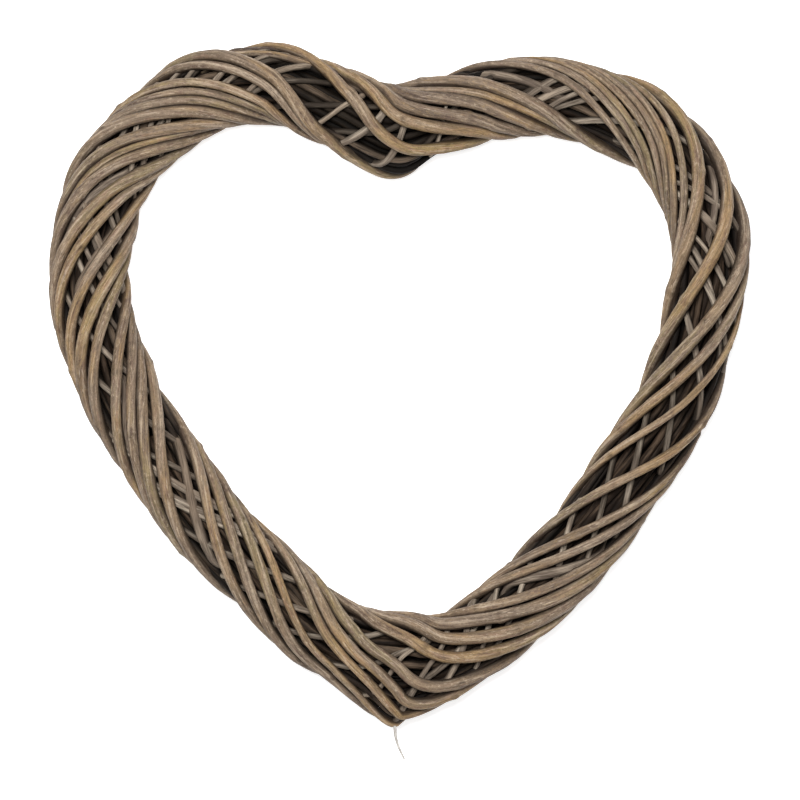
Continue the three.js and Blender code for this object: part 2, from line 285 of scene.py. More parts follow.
# %% [markdown]
# ## The surface of a rod
# A willow rod is nearly round, tapers, swells a little at each bud, and its dry bark has fine
# lengthwise wrinkles. It could be a bevelled curve with a displaced subdivision surface, but then
# the wrinkles and buds would not follow the rod's length. Here the surface is a function of two
# values: the length along the rod and the angle round it. Each ring stands square to the rod, and
# its zero angle faces away from the middle of the tube.

# %% Helpers for natural unevenness
def drift(length, wave, draw, parts=5):
    """Slow random wander between about -1 and 1 along a length: a sum of sine waves with wave
    lengths round the one given."""
    waves = wave * draw.uniform(0.6, 1.8, parts)
    phases = draw.uniform(0, TURN, parts)
    weights = draw.uniform(0.5, 1, parts)
    ups = np.sin(TURN * length[:, None] / waves + phases) * weights
    return ups.sum(axis=1) / np.sqrt((weights ** 2).sum())


def evenly_spaced(share, angle, radius, step):
    """Shares and angles of places that lie one step apart along a rod's line, and their lengths
    from its start."""
    line = layer_point(share, np.full(len(share), float(radius)), angle)
    far = np.concatenate([[0], np.cumsum(np.linalg.norm(np.diff(line, axis=0), axis=1))])
    length = np.linspace(0, far[-1], max(3, int(round(far[-1] / step)) + 1))
    return np.interp(length, far, share), np.interp(length, far, angle), length


def rings_along(line, away):
    """Direction, away side and third side at each point of a line: the away side is made square
    to the line's direction, and the third side is square to both."""
    along = np.gradient(line, axis=0)
    along /= np.linalg.norm(along, axis=1, keepdims=True)
    away = away - (away * along).sum(axis=1, keepdims=True) * along
    away /= np.linalg.norm(away, axis=1, keepdims=True)
    return along, away, np.cross(along, away)


# %% [markdown]
# ### Buds and wrinkles
# A bud leaves a small ring-shaped swelling and a scar on one side, and the next bud sits further
# round the rod. Wrinkles are ridges round the section whose places wander along the rod. Both are
# added to the radius, so the mesh stays closed whatever their height.

# %% Relief of the bark
BUD_GAP, BUD_SPAN, BUD_FREE_END = (38, 74), 12, 5
BUD_TURN, BUD_TURN_SPREAD = 0.38 * TURN, 0.3
BUD_SWELL, BUD_SCAR = 0.22, 0.75
RING_LENGTH, SCAR_LENGTH, SCAR_WIDTH, SCAR_SHIFT = 2.6, 2.0, 1.7, 1.0
RIDGE_ORDERS = (2, 3, 4, 5, 7, 9)
RIDGE_SHARE, RIDGE_FALL, RIDGE_WANDER, RIDGE_WAVE = 0.028, 0.4, 1.6, 35
SWELL_SHARE, SWELL_WAVE = 0.03, 55


def bark_relief(length, around, radius, draw):
    """Height added to the radius and how much of a bud each place is. The height is a sum of
    cosines of whole multiples of the angle, with wandering phases, plus a bell-shaped ring and a
    bell-shaped scar at each bud."""
    height = SWELL_SHARE * radius[:, None] * drift(length, SWELL_WAVE, draw)[:, None]
    for order in RIDGE_ORDERS:
        phase = draw.uniform(0, TURN) + RIDGE_WANDER * drift(length, 60 / order + 14, draw)
        size = RIDGE_SHARE * radius / order ** RIDGE_FALL
        size = size * (1 + 0.5 * drift(length, RIDGE_WAVE, draw))
        height = height + size[:, None] * np.cos(order * around[None, :] + phase[:, None])
    bud = np.zeros_like(height)
    place, turned = draw.uniform(10, BUD_GAP[1]), draw.uniform(0, TURN)
    while place < length[-1] - BUD_FREE_END:
        near = np.abs(length - place) < BUD_SPAN
        off = (length[near] - place)[:, None]
        side = np.mod(around[None, :] - turned + np.pi, TURN) - np.pi
        sideways = side * radius[near][:, None]
        ring = np.exp(-(off / RING_LENGTH) ** 2)
        scar = np.exp(-((off - SCAR_SHIFT) / SCAR_LENGTH) ** 2 - (sideways / SCAR_WIDTH) ** 2)
        share = radius[near][:, None] / (WRAP_BUTT_DIAMETER / 2)
        height[near] += (BUD_SWELL * ring + BUD_SCAR * scar) * share
        bud[near] = np.maximum(bud[near], np.maximum(0.6 * ring, scar))
        place += draw.uniform(*BUD_GAP)
        turned += BUD_TURN + draw.normal(0, BUD_TURN_SPREAD)
    return height, bud


# %% [markdown]
# ### From a line to a mesh
# A rod's line, its away side and its radius give all rings at once, as one array. Each vertex also
# keeps values for the bark: its place on the unbent rod, its tone, how much of a bud it is, and how
# much painted shade it gets on its inner half and beside close neighbours. A painted shade that
# only looked at the angle would also darken a rod that lies free, so it looks at how near the
# neighbours are.

# %% Mesh of one rod or several
SHADE_FROM, SHADE_FROM_CLOSE = -0.4, 0.7
SHADE_TO, SHADE_TO_CLOSE = 0.56, 0.38
USUAL_NEAR = (0.35, 0.35)
END_ROUND, END_WAIST = 1.2, 0.72


def smooth_step(low, high, value):
    """0 below low, 1 above high, and a smooth rise between."""
    t = np.clip((value - low) / (high - low), 0, 1)
    return t * t * (3 - 2 * t)


def crevice_painted_shade(around, near):
    """How much painted shade each place gets: the inner half of a rod always does, and the
    sides do up to where a close neighbour touches. Near is 1 for touching and 0 for far, for the
    neighbours on the third side and on the other one."""
    # Painted shade: 1 on the inner half and the touched sides, fading to 0 on the open front.
    close = np.where(np.sin(around)[None, :] > 0, near[0][:, None], near[1][:, None])
    return 1 - smooth_step(SHADE_FROM + SHADE_FROM_CLOSE * close,
                           SHADE_TO + SHADE_TO_CLOSE * close, np.cos(around)[None, :])


def rod_surface(line, away, radius, sides, draw, tone, offset, near=USUAL_NEAR, relief=True):
    """Vertices, quads, end caps and bark values of one rod. A vertex is the line's point plus the
    radius and relief times the cosine of the angle along the away side and its sine along the
    third side. The radius shrinks over the last millimetre to round the ends."""
    near = [np.broadcast_to(side, len(line)) for side in near]
    step = np.linalg.norm(np.diff(line, axis=0), axis=1)
    length = np.concatenate([[0], np.cumsum(step)])
    along, away, third = rings_along(line, away)
    around = np.arange(sides) / sides * TURN
    height, bud = np.zeros((len(line), sides)), np.zeros((len(line), sides))
    if relief:
        height, bud = bark_relief(length, around, radius, draw)
    rounding = np.clip(np.minimum(length, length[-1] - length) / END_ROUND, 0, 1)
    waist = END_WAIST + (1 - END_WAIST) * np.sqrt(rounding)
    full = (radius[:, None] + height) * waist[:, None]
    cos, sin = np.cos(around), np.sin(around)
    points = (line[:, None] + full[..., None] * (away[:, None] * cos[None, :, None]
                                                 + third[:, None] * sin[None, :, None]))
    straight = np.stack([full * cos, full * sin, length[:, None] + offset + 0 * full], axis=-1)
    tones = np.broadcast_to(tone[:, None], (len(line), sides, 3))
    ring, side = np.meshgrid(np.arange(len(line) - 1), np.arange(sides), indexing="ij")
    a, b = ring * sides + side, ring * sides + (side + 1) % sides
    quads = np.stack([a, b, b + sides, a + sides], axis=-1).reshape(-1, 4)
    start = np.arange(sides)[::-1]
    end = (len(line) - 1) * sides + np.arange(sides)
    return {
        "points": points.reshape(-1, 3), "quads": quads, "caps": [start, end],
        "straight": straight.reshape(-1, 3), "tone": tones.reshape(-1, 3), "bud": bud.ravel(),
        "painted_crevice_shade": crevice_painted_shade(around, near).ravel(),
    }


def make_piece(name, rods, material):
    """A mesh object from one or more rod surfaces, with their bark values as attributes."""
    offsets = np.cumsum([0] + [len(r["points"]) for r in rods])[:-1]
    points = np.concatenate([r["points"] for r in rods])
    quads = np.concatenate([r["quads"] + o for r, o in zip(rods, offsets)])
    caps = [cap + o for r, o in zip(rods, offsets) for cap in r["caps"]]
    mesh = bpy.data.meshes.new(name)
    corners = np.concatenate([quads.ravel(), *caps])
    sizes = np.concatenate([np.full(len(quads), 4), [len(cap) for cap in caps]])
    mesh.vertices.add(len(points))
    mesh.vertices.foreach_set("co", (points * MM).astype(np.float32).ravel())
    mesh.loops.add(len(corners))
    mesh.loops.foreach_set("vertex_index", corners.astype(np.int32))
    mesh.polygons.add(len(sizes))
    mesh.polygons.foreach_set("loop_start", (np.cumsum(sizes) - sizes).astype(np.int32))
    mesh.polygons.foreach_set("use_smooth", sizes == 4)
    for key, kind, slot_name in (
        ("straight", "FLOAT_VECTOR", "vector"), ("tone", "FLOAT_VECTOR", "vector"),
        ("bud", "FLOAT", "value"), ("painted_crevice_shade", "FLOAT", "value"),
    ):
        values = np.concatenate([r[key] for r in rods]).astype(np.float32)
        mesh.attributes.new(key, kind, "POINT").data.foreach_set(slot_name, values.ravel())
    mesh.update(calc_edges=True)
    mesh.validate()
    mesh.materials.append(material)
    piece = bpy.data.objects.new(name, mesh)
    bpy.context.scene.collection.objects.link(piece)
    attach(piece, "root")
    print(f"{name}: {len(points)} vertices, {int((sizes - 2).sum())} triangles")
    return piece


# %% [markdown]
# ## Shader maths
# A material is written as Python expressions. One small class wraps a socket, and its operators
# add Math nodes. Any other node comes from one method that takes its type, its settings and the
# values or links of its sockets.

# %% Socket wrapper
class Wire:
    """An output of a shader node. Arithmetic on it adds the Math node that does the same."""

    def __init__(self, finish, socket):
        self.finish, self.socket = finish, socket

    def math(self, operation, *values):
        settings = {"operation": operation}
        return self.finish.node("ShaderNodeMath", settings, dict(enumerate(values)))

    def __add__(self, other):
        return self.math("ADD", self, other)

    def __sub__(self, other):
        return self.math("SUBTRACT", self, other)

    def __rsub__(self, other):
        return self.math("SUBTRACT", other, self)

    def __mul__(self, other):
        return self.math("MULTIPLY", self, other)

    __radd__ = __add__
    __rmul__ = __mul__

    def ramp(self, low, high):
        """0 below low, 1 above high, and a smooth rise between."""
        settings = {"interpolation_type": "SMOOTHSTEP"}
        return self.finish.node("ShaderNodeMapRange", settings, {0: self, 1: low, 2: high})


class Finish:
    """A material whose nodes are added by expressions."""

    def __init__(self, name):
        self.material = bpy.data.materials.new(name)
        self.material.use_nodes = True
        self.tree = self.material.node_tree
        self.tree.nodes.clear()

    def node(self, kind, settings=None, inputs=None, output=0):
        """A node of a kind, with its settings set first and then its sockets."""
        made = self.tree.nodes.new(kind)
        for key, value in (settings or {}).items():
            setattr(made, key, value)
        for key, value in (inputs or {}).items():
            if isinstance(value, Wire):
                self.tree.links.new(value.socket, made.inputs[key])
            else:
                made.inputs[key].default_value = value
        return Wire(self, made.outputs[output]) if len(made.outputs) else made

    def attribute(self, name, output):
        return self.node("ShaderNodeAttribute", {"attribute_name": name}, None, output)

    def mix(self, factor, first, second):
        """Colour that goes from the first to the second as the factor goes from 0 to 1."""
        settings = {"data_type": "RGBA", "clamp_factor": True}
        return self.node("ShaderNodeMix", settings, {0: factor, 6: first, 7: second}, 2)

    def noise(self, place, across, along, detail=3.0, roughness=0.55):
        """Noise on the straightened rod, stretched along it. The sizes are waves per mm."""
        scaled = self.node("ShaderNodeVectorMath", {"operation": "MULTIPLY"},
                           {0: place, 1: (across, across, along)})
        return self.node("ShaderNodeTexNoise", None,
                         {"Vector": scaled, "Scale": 1.0, "Detail": detail,
                          "Roughness": roughness})

    def surface(self, colour, roughness, height, bump, gloss):
        """Closes the material: bark colour, roughness, a bump in metres and a set gloss."""
        normal = self.node("ShaderNodeBump", None,
                           {"Strength": 1.0, "Distance": bump, "Height": height})
        shader = self.node("ShaderNodeBsdfPrincipled", None, {
            "Base Color": colour, "Roughness": roughness, "Normal": normal,
            "Specular IOR Level": gloss,
        })
        self.node("ShaderNodeOutputMaterial", None, {"Surface": shader})
        return self.material


# %% [markdown]
# ## Bark
# Willow bark dries to tan and greige, golden where it is rubbed, grey-mauve where it is weathered,
# with fine lengthwise grain, pale scuffs and dark specks. A plain noise on the object's place
# would cut across the rods. The straight attribute holds each place as if the rod were unbent, so
# the grain runs along the rod. The tone attribute holds how warm, how dark and how green the rod
# is there, and the painted shade attribute how much painted shade is laid on there, on the rod's
# inner half and beside close neighbours.

# %% Colours
def rgb(red, green, blue):
    """A colour as Blender takes it, from screen values of 0 to 255."""
    screen = np.array([red, green, blue]) / 255
    linear = np.where(screen <= 0.04045, screen / 12.92, ((screen + 0.055) / 1.055) ** 2.4)
    return (*linear.tolist(), 1.0)


TAN = rgb(136, 115, 91)
GREIGE = rgb(124, 107, 90)
GOLD = rgb(150, 122, 82)
ROSE = rgb(146, 110, 89)
MOSS = rgb(125, 112, 72)
UMBER = rgb(28, 18, 11)
MAUVE = rgb(76, 62, 57)
SCUFF = rgb(190, 173, 151)


def outer_bark():
    """Tan, gold and greige bark with grain, scuffs, specks, darker buds and painted shade."""
    f = Finish("outer bark")
    place = f.attribute("straight", 1)
    tone = f.node("ShaderNodeSeparateXYZ", None, {0: f.attribute("tone", 1)})
    warm = Wire(f, tone.socket.node.outputs[0])
    dark = Wire(f, tone.socket.node.outputs[1])
    green = Wire(f, tone.socket.node.outputs[2])
    bud = f.attribute("bud", 2)
    grain = f.noise(place, 1.5, 0.11)
    fine = f.noise(place, 2.0, 0.8, 3.0, 0.75)
    mottle = f.noise(place, 0.9, 0.38, 4.0, 0.75)
    streak = f.noise(place, 0.62, 0.03, 3.0, 0.6)
    patch = f.noise(place, 0.16, 0.022, 3.0)
    other = f.noise(place, 0.22, 0.03, 2.0)
    cloud = f.noise(place, 0.5, 0.11, 4.0, 0.65)
    painted_crevice_shade = f.attribute("painted_crevice_shade", 2)
    colour = f.mix((patch + 0.4 * warm - 0.2).ramp(0.40, 0.66), GREIGE, TAN)
    colour = f.mix((other + 0.45 * warm - 0.25).ramp(0.52, 0.76) * 0.6, colour, GOLD)
    colour = f.mix((cloud + 0.1 * warm).ramp(0.56, 0.76) * 0.4, colour, ROSE)
    colour = f.mix((cloud * -1 + 0.9 + 0.3 * green).ramp(0.55, 0.8) * 0.45 * green.ramp(0.2, 0.8),
                   colour, MOSS)
    colour = f.mix((cloud + patch * 0.6 + dark * 0.5).ramp(0.85, 1.25) * 0.8, colour, MAUVE)
    colour = f.mix((1 - streak.ramp(0.36, 0.5)) * 0.38, colour, UMBER)
    colour = f.mix(streak.ramp(0.52, 0.68) * 0.45, colour, SCUFF)
    colour = f.mix((1 - grain.ramp(0.3, 0.52)) * 0.4, colour, UMBER)
    colour = f.mix((1 - mottle.ramp(0.3, 0.48)) * 0.55, colour, MAUVE)
    colour = f.mix(mottle.ramp(0.53, 0.68) * 0.5, colour, f.mix(other.ramp(0.4, 0.6), SCUFF, GOLD))
    colour = f.mix((1 - fine.ramp(0.3, 0.5)) * 0.5, colour, UMBER)
    scuffs = f.noise(place, 0.9, 0.12, 4.0, 0.7).ramp(0.58, 0.7)
    colour = f.mix(scuffs * 0.55, colour, SCUFF)
    colour = f.mix(bud.ramp(0.25, 1.0) * 0.5, colour, UMBER)
    colour = f.mix(dark.ramp(0.3, 1.1) * 0.5, colour, UMBER)
    # Painted shade: the rod's inner half and its sides beside touching neighbours turn umber.
    colour = f.mix(painted_crevice_shade * 0.9, colour, UMBER)
    roughness = 0.52 + grain * 0.22 + scuffs * 0.1
    height = grain * 0.9 + fine * 0.4 + mottle * 0.6 + cloud * 0.5 + streak * 0.9
    return f.surface(colour, roughness, height, 0.00045, 0.2)


# %% [markdown]
# ## Inner rods
# The windings are cool grey, and the core is nearly black brown. All of them take the same kind
# of bark with fewer colours, darker the deeper they lie: the under rods and the core are dark bark
# made darker still as painted shade of the deep windows.

# %% Inner barks
def inner_bark(name, base, light, deep, light_share):
    """Bark of an inner layer: a base colour with light streaks, dark streaks, a grain and painted
    shade.
    """
    f = Finish(name)
    place = f.attribute("straight", 1)
    tone = f.node("ShaderNodeSeparateXYZ", None, {0: f.attribute("tone", 1)})
    warm = Wire(f, tone.socket.node.outputs[0])
    dark = Wire(f, tone.socket.node.outputs[1])
    grain = f.noise(place, 1.8, 0.09)
    cloud = f.noise(place, 0.35, 0.05, 4.0, 0.6)
    fine = f.noise(place, 4.5, 0.4, 2.0)
    painted_crevice_shade = f.attribute("painted_crevice_shade", 2)
    colour = f.mix(cloud.ramp(0.42, 0.68) * light_share, base, light)
    colour = f.mix((warm + cloud).ramp(0.9, 1.5) * 0.5, colour, GREIGE)
    colour = f.mix((1 - grain.ramp(0.3, 0.55)) * 0.6, colour, deep)
    # The dark tone holds the rod's own darkness and, on evenly wound rods, painted shade at the
    # dip.
    colour = f.mix(dark.ramp(0.2, 1.0) * 0.85, colour, deep)
    # Painted shade on the inner half of the rod and beside its neighbours.
    colour = f.mix(painted_crevice_shade * 0.9, colour, deep)
    return f.surface(colour, 0.6 + grain * 0.2, grain + fine * 0.4, 0.0003, 0.1)


BARKS = {
    "outer_bark": outer_bark(),
    "binder_bark": inner_bark("winding bark", rgb(108, 96, 84), rgb(172, 159, 142),
                              rgb(24, 18, 13), 0.8),
    "deep_bark": inner_bark("deep bark", rgb(92, 80, 70), rgb(146, 132, 116),
                            rgb(22, 16, 11), 0.8),
    # Under and core barks: their own dark colour, darkened further as painted shade of the depth.
    "under_bark": inner_bark("under bark", rgb(36, 28, 22), rgb(78, 66, 55),
                             rgb(8, 5, 3), 0.8),
    "core_bark": inner_bark("core bark", rgb(28, 19, 12), rgb(78, 63, 50), rgb(5, 3, 1), 0.8),
}
print("barks:", sorted(BARKS))

# %% [markdown]
# ## Outer rods
# The outer rods carry the look of the wreath. Each follows its settled line, wanders a little, and
# gives way where it rests on the table, so that the wreath lies flat without a cut. A thinner part
# of a rod sinks a little deeper, to lie on the layer below as a real one does.

# %% Outer rods
WRAP_SIDES, WRAP_STEP = 20, 1.7
WRAP_SAMPLES = 120
WRAP_LOOK = 1.07
TOUCHING_GAP, FAR_GAP = -0.5, 2.5
SINK_SWAY, SINK_WAVE, MOST_SINK = 0.35, 110, 1.8
ANGLE_SWAY, ANGLE_WAVE = 0.012, 90
REST_GIVE = 1.2
ROD_OFFSET = 4000
REST_LEVEL = -TUBE_RADIUS + REST_TRIM


def away_side(share, angle):
    """Direction from the tube's middle: the outward side times the sine of the angle plus the
    upward side times its cosine."""
    outward = heart_frame(share)[1]
    return np.concatenate([outward * np.sin(angle)[:, None], np.cos(angle)[:, None]], axis=1)


def resting(line, radius):
    """The line lifted where its rod would reach below the rest level: a smooth maximum of the
    height and the lowest height that the rod's radius allows."""
    room = (line[:, 2] - radius - REST_LEVEL) / REST_GIVE
    lifted = line.copy()
    lifted[:, 2] = REST_LEVEL + radius + REST_GIVE * np.logaddexp(0, room * 2) / 2
    return lifted


def tones(length, draw, warm, dark, green=0.5):
    """How warm, dark and green a rod is along its length, each a set value plus a wander."""
    return np.stack([
        warm + 0.25 * drift(length, 160, draw),
        dark + 0.18 * drift(length, 120, draw),
        green + 0.4 * drift(length, 200, draw),
    ], axis=-1)


outer_rods = []
number = 0
for (_, _, rods), draft in zip(WRAP_RUNS, drafts):
    first = 0
    for thin_first, crossings in rods:
        number += 1
        draw = np.random.default_rng(100 + number)
        turns = len(crossings)
        turn = first - 0.5 + np.linspace(0, turns, turns * WRAP_SAMPLES + 1)
        share = smooth_between(draft["share"], (turn - draft["turn"][0]) * DRAFT_STEPS)
        share, angle, length = evenly_spaced(share, turn * TURN, WRAP_RADIUS, WRAP_STEP)
        kept = (length > END_GAP / 2) & (length < length[-1] - END_GAP / 2)
        share, angle, length = share[kept], angle[kept], length[kept]
        done = (angle / TURN - first + 0.5) / turns
        radius = WRAP_LOOK * rod_diameter(thin_first, done) / 2
        sway = SINK_SWAY * (1 + drift(length, SINK_WAVE, draw))
        sink = np.clip(sway + WRAP_BUTT_DIAMETER / 2 - radius, 0, MOST_SINK)
        angle = angle + ANGLE_SWAY * drift(length, ANGLE_WAVE, draw)
        line = resting(layer_point(share, WRAP_RADIUS - sink, angle), radius)
        tone = tones(length, draw, draw.uniform(0.2, 0.9), draw.uniform(0, 0.25))
        at = angle / TURN
        near = [
            1 - smooth_step(TOUCHING_GAP, FAR_GAP, np.interp(at, draft["turn"], draft[side]))
            for side in ("behind", "ahead")
        ]
        outer_rods.append(rod_surface(line, away_side(share, angle), radius, WRAP_SIDES, draw,
                                      tone, number * ROD_OFFSET, near))
        first += turns

# %% [markdown]
# ## Fitting the rods to the frame
# The rods were worked out round the heart's own origin, and the CAD part is measured from the
# middle of its outline, on the plane that it lies on. The place of the one in the other is the
# middle of the differences between the rods' boxes and their nodes' boxes.

# %% Place in the frame
def box_middle(low, high):
    return (np.array(low) + np.array(high)) / 2


gaps = [
    box_middle(*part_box(f"wrap_rod_{i + 1}")) / MM
    - box_middle(rod["points"].min(axis=0), rod["points"].max(axis=0))
    for i, rod in enumerate(outer_rods)
]
HEART_PLACE = np.array([*np.median(gaps, axis=0)[:2], -REST_LEVEL])
print("heart's origin in the frame, mm:", HEART_PLACE.round(3))


def placed(rod):
    """The rod moved to its place in the frame, and kept on the table."""
    points = rod["points"] + HEART_PLACE
    points[:, 2] = np.maximum(points[:, 2], 0)
    return {**rod, "points": points}


for i, rod in enumerate(outer_rods):
    piece = make_piece(f"outer_rod_{i + 1}", [placed(rod)], BARKS["outer_bark"])
    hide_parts(f"wrap_rod_{i + 1}")
    low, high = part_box(f"wrap_rod_{i + 1}")
    corners = np.array(piece.bound_box)
    off = np.abs(np.array([corners.min(0) - low, corners.max(0) - high])).max() / MM
    print("   furthest from its node's box, mm:", round(off, 2))

# %% [markdown]
# ## Windings
# Under the outer rods, thin grey rods are wound the other way. Five of them stand for the solids.
# Where the real wreath shows more of them, short windings are laid over those. The lists give
# where each one crosses the front, in hundredths of the way round, how many turns it would make
# round the whole heart, which sets its slant, and its thickness.

# %% Windings
WINDING_LOOK, WINDING_SWAY, WINDING_SWELL = 0.86, 0.12, 1.5
DIP_WINDINGS = [(-2.6, -18, 2.6), (-0.3, -21, 4.2), (1.35, -20, 4.6), (3.2, -19, 3.4)]
SHORT_WINDINGS = [
    (7.6, -9, 3.6), (9.5, -8, 3.0), (10.4, -8, 3.2), (12.6, -8, 3.0), (14.0, -7, 3.2),
    (15.3, -8, 3.2), (18.4, -8, 3.2), (20.2, -7, 4.8), (21.8, -7, 3.0), (34.6, -5, 3.0),
    (35.1, -5, 2.6), (36.4, -5, 4.2), (37.0, -5, 3.2), (50.3, -11, 3.0), (52.0, -12, 3.3),
    (53.4, -12, 4.0), (55.0, -10, 3.2), (76.6, -7, 3.4), (78.4, -7, 3.2), (80.5, -6, 4.6),
    (82.0, -9, 3.2), (90.6, -8, 3.3), (91.5, -6, 4.4), (92.6, -8, 3.8),
]
SHORT_REACH, DIP_REACH_OUT = 0.34, 0.14
SHORT_RADIUS, SHORT_SWELL = BINDER_RADIUS + 1.2, 3
BINDER_FIRST_END, BINDER_END_STEP = 0.3, 0.37
SHADE_SPREAD = 75


def even_rod(radius, diameter, turns, start, start_angle, sides, step, draw, tone, offset,
             sway=0.0, swell=0.0):
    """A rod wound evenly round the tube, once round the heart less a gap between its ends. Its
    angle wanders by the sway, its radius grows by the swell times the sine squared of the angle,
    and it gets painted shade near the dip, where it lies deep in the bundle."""
    share = start + (1 - END_GAP / HEART_LENGTH) * np.linspace(0, 1, 1200)
    angle = start_angle + turns * TURN * share
    share, angle, length = evenly_spaced(share, angle, radius, step)
    angle = angle + sway * drift(length, 140, draw)
    thick = diameter / 2 * (1 + 0.1 * drift(length, 300, draw))
    line = layer_point(share, radius + swell * np.sin(angle) ** 2, angle)
    tone = tones(length, draw, *tone)
    from_dip = np.abs(np.mod(share + 0.5, 1) - 0.5) * HEART_LENGTH
    # Painted shade: a bell-shaped darkening of the tone round the dip.
    tone[:, 1] += np.exp(-(from_dip / SHADE_SPREAD) ** 2)
    return rod_surface(line, away_side(share, angle), thick, sides, draw, tone, offset)


for i in range(BINDER_COUNT):
    draw = np.random.default_rng(200 + i)
    rod = even_rod(
        BINDER_RADIUS, BINDER_DIAMETER * WINDING_LOOK, -BINDER_TURNS,
        BINDER_FIRST_END + i * BINDER_END_STEP,
        i / BINDER_COUNT * TURN, 12, 2.2, draw,
        (draw.uniform(0, 0.5), draw.uniform(0.3, 0.6)), (20 + i) * ROD_OFFSET, WINDING_SWAY,
        WINDING_SWELL,
    )
    piece = make_piece(f"winding_rod_{i + 1}", [placed(rod)], BARKS["binder_bark"])
    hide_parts(f"binder_rod_{i + 1}")


def short_rod(crossing, turns, thickness, reach, draw, offset):
    """A short winding that crosses the front at a given place and dips under the outer rods at
    both sides of the tube, where its radius grows by the swell times the sine squared. The reach
    is how far it goes on outwards, as a share of a turn."""
    angle = np.linspace(-SHORT_REACH, reach, 200) * TURN
    share = crossing / 100 + angle / TURN / turns
    share, angle, length = evenly_spaced(share, angle, SHORT_RADIUS, 1.6)
    radius = SHORT_RADIUS + SHORT_SWELL * np.sin(angle) ** 2
    share = share + 0.0006 * drift(length, 60, draw)
    thick = thickness / 2 * (1 + 0.08 * drift(length, 50, draw))
    line = layer_point(share, radius, angle)
    tone = tones(length, draw, draw.uniform(0, 0.9), draw.uniform(-0.3, 0.25))
    return rod_surface(line, away_side(share, angle), thick, 12, draw, tone, offset)


windings = [(*winding, DIP_REACH_OUT) for winding in DIP_WINDINGS]
windings += [(*winding, SHORT_REACH) for winding in SHORT_WINDINGS]
shorts = [
    placed(short_rod(*winding, np.random.default_rng(230 + i), (100 + i) * ROD_OFFSET))
    for i, winding in enumerate(windings)
]
piece = make_piece("short_windings", shorts, BARKS["binder_bark"])

# %% [markdown]
# ## Rods between the windings and the outer rods
# The real bundle has many more rods than the solids, and no light comes through it. Side rods run
# lengthwise along both sides of the tube, and corner rods do so at the dip and the bottom point,
# where the layers spread. Two tan edge rods lie beside the dip on the outside. Deep rods wind with
# the outer ones, but nearer the middle, and show grey in the widest windows. Rods that end inside
# the bundle dive at both ends, so no cut end shows. The lists give shares in hundredths of the way
# round, angles in turns, and radii and diameters in millimetres.

# %% Rods under the outer ones
SIDE_RODS = [
    (0.2, 15.2), (0.29, 15.2), (0.245, 17.4), (0.255, 13), (0.71, 15.2), (0.8, 15.2),
    (0.745, 17.4), (0.755, 13),
]
CORNER_RODS = [
    (50, 8, 0.25, 18), (50, 8, 0.22, 15.6), (50, 8, 0.28, 15.6), (50, 7, 0.25, 13.6),
    (50, 7, 0.3, 12.5), (50, 7, 0.2, 12.5), (50, 6, 0.18, 17.2), (50, 6, 0.32, 17.2),
    (1, 6, 0.16, 16.6), (1, 6, 0.2, 17.6), (1, 6, 0.28, 17.2), (0, 6, 0.34, 16.6),
    (0, 5, 0.83, 16), (0, 5, 0.68, 16), (50, 7, 0.5, 10), (50, 7, 0.42, 13), (50, 7, 0.46, 16),
    (50, 7, 0.38, 14), (50, 6, 0.4, 17.5), (50, 6, 0.55, 13), (50, 5, 0.44, 5), (50, 5, 0.36, 7),
]
SIDE_DIAMETER, SIDE_SWAY = 3.8, 0.1
DIVE, DIVE_LENGTH = 6, 16
EDGE_RODS = [(5.5, 4.5, 0.235, 18.2, 5.4), (6.5, 4, 0.19, 17.6, 4.6)]
DEEP_RODS = [
    (31.6, 40.2, -0.26, 0.22, 14.4, 5.6), (56.4, 63, -0.24, 0.26, 14.6, 5.2),
    (16, 22, -0.14, 0.28, 14.8, 5.6), (28.4, 34.4, -0.1, 0.28, 14.8, 4.8),
    (90.6, 96.4, -0.06, 0.26, 14.6, 5), (79, 84.6, -0.04, 0.28, 14.6, 4.6),
    (19.2, 24.4, -0.22, 0.14, 14.4, 4.4),
]
unders = []
for i, (turned, radius) in enumerate(SIDE_RODS):
    draw = np.random.default_rng(260 + i)
    unders.append(placed(even_rod(
        radius, SIDE_DIAMETER, 0, draw.uniform(0, 1), turned * TURN, 10, 2.6, draw,
        (0.1, 0.5), (50 + i) * ROD_OFFSET, SIDE_SWAY,
    )))


def diving(length, radius):
    """A radius that falls by the dive at both ends of a rod, so that the ends hide in the
    bundle: a smooth step over the dive's length."""
    from_end = np.minimum(length, length[-1] - length)
    return radius - DIVE * (1 - smooth_step(0, DIVE_LENGTH, from_end))


def part_rod(middle, reach, turned, radius, diameter, draw, offset):
    """A rod that runs lengthwise past a corner or along an edge, at one angle of the tube."""
    share = (middle + reach * np.linspace(-1, 1, 200)) / 100
    share, angle, length = evenly_spaced(share, np.full(200, turned * TURN), radius, 2)
    angle = angle + SIDE_SWAY * drift(length, 60, draw)
    line = layer_point(share, diving(length, radius), angle)
    tone = tones(length, draw, draw.uniform(0, 0.8), draw.uniform(0, 0.8))
    thick = diameter / 2 * (1 + 0.1 * drift(length, 80, draw))
    return placed(rod_surface(line, away_side(share, angle), thick, 10, draw, tone, offset))


unders += [
    part_rod(*rod, SIDE_DIAMETER, np.random.default_rng(280 + i), (70 + i) * ROD_OFFSET)
    for i, rod in enumerate(CORNER_RODS)
]
piece = make_piece("under_rods", unders, BARKS["under_bark"])
edges = [
    part_rod(*rod, np.random.default_rng(310 + i), (90 + i) * ROD_OFFSET)
    for i, rod in enumerate(EDGE_RODS)
]
piece = make_piece("edge_rods", edges, BARKS["outer_bark"])


